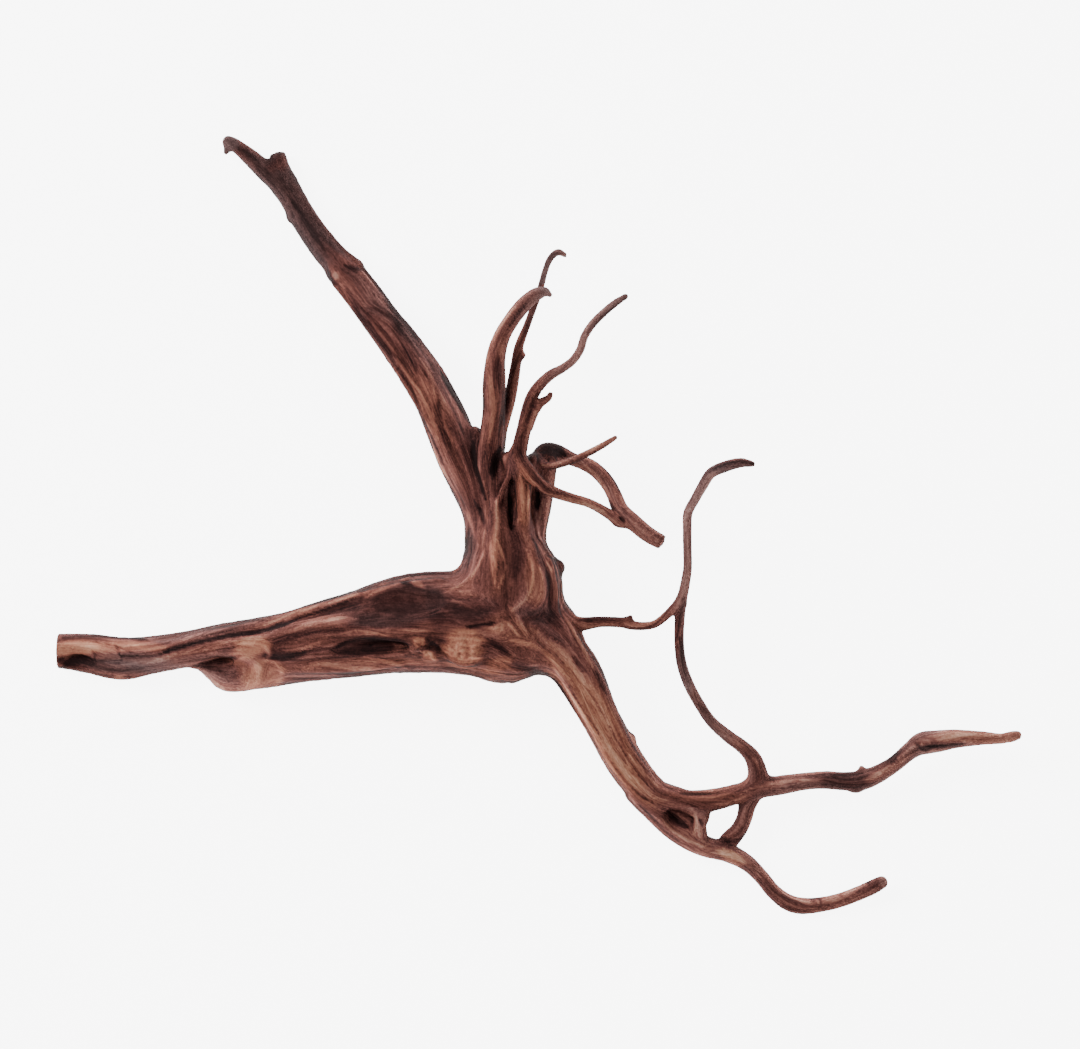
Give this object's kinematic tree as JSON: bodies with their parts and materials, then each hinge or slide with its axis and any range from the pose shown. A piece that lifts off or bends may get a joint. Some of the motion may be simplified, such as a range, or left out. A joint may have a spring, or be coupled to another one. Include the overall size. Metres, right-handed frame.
{
  "type": "piece of snake wood",
  "caption": "Natural branching driftwood root for a terrarium or aquarium: a thick sawn log, a burl, a tall branch and thin curling rootlets, lying on its back.",
  "frame": {"origin": "centre of the bounding box's underside, on the surface that the piece lies on", "axes": "+X from the sawn end of the log to the long right root, +Y up the tall branch, +Z away from the surface"},
  "size_m": [0.4824, 0.3912, 0.0895],
  "materials": {
    "wood": "dry weathered heartwood, reddish brown with pale grain, matt"
  },
  "bodies": {
    "root": {"snake_wood": "wood"}
  },
  "joints": []
}
